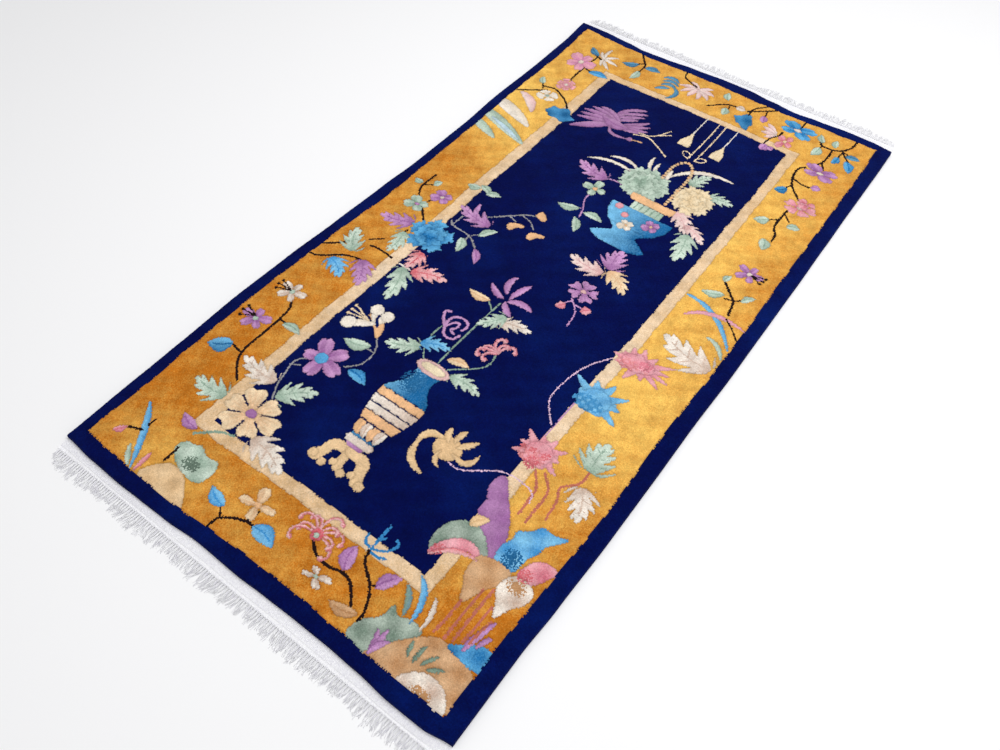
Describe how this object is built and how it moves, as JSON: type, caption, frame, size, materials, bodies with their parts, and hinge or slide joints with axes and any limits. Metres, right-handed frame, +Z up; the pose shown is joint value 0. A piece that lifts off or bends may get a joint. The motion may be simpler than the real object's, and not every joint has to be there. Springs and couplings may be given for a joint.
{
  "type": "chinese art deco rug",
  "caption": "Hand-knotted wool rug with thick pile, a flat-woven cotton band and a loose cotton fringe at each end, lying flat on the floor.",
  "frame": {"origin": "middle of the rug's footprint on the floor", "axes": "+X towards the rug's right long side as in the picture, +Y along the rug's length towards the far end, +Z up through the pile"},
  "size_m": [0.93, 1.8706, 0.0125],
  "materials": {
    "wool": "matte",
    "cotton": "matte"
  },
  "bodies": {
    "root": {"rug_pile": "wool", "web_near": "cotton", "web_far": "cotton", "fringe_near": "cotton", "fringe_far": "cotton"}
  },
  "joints": []
}
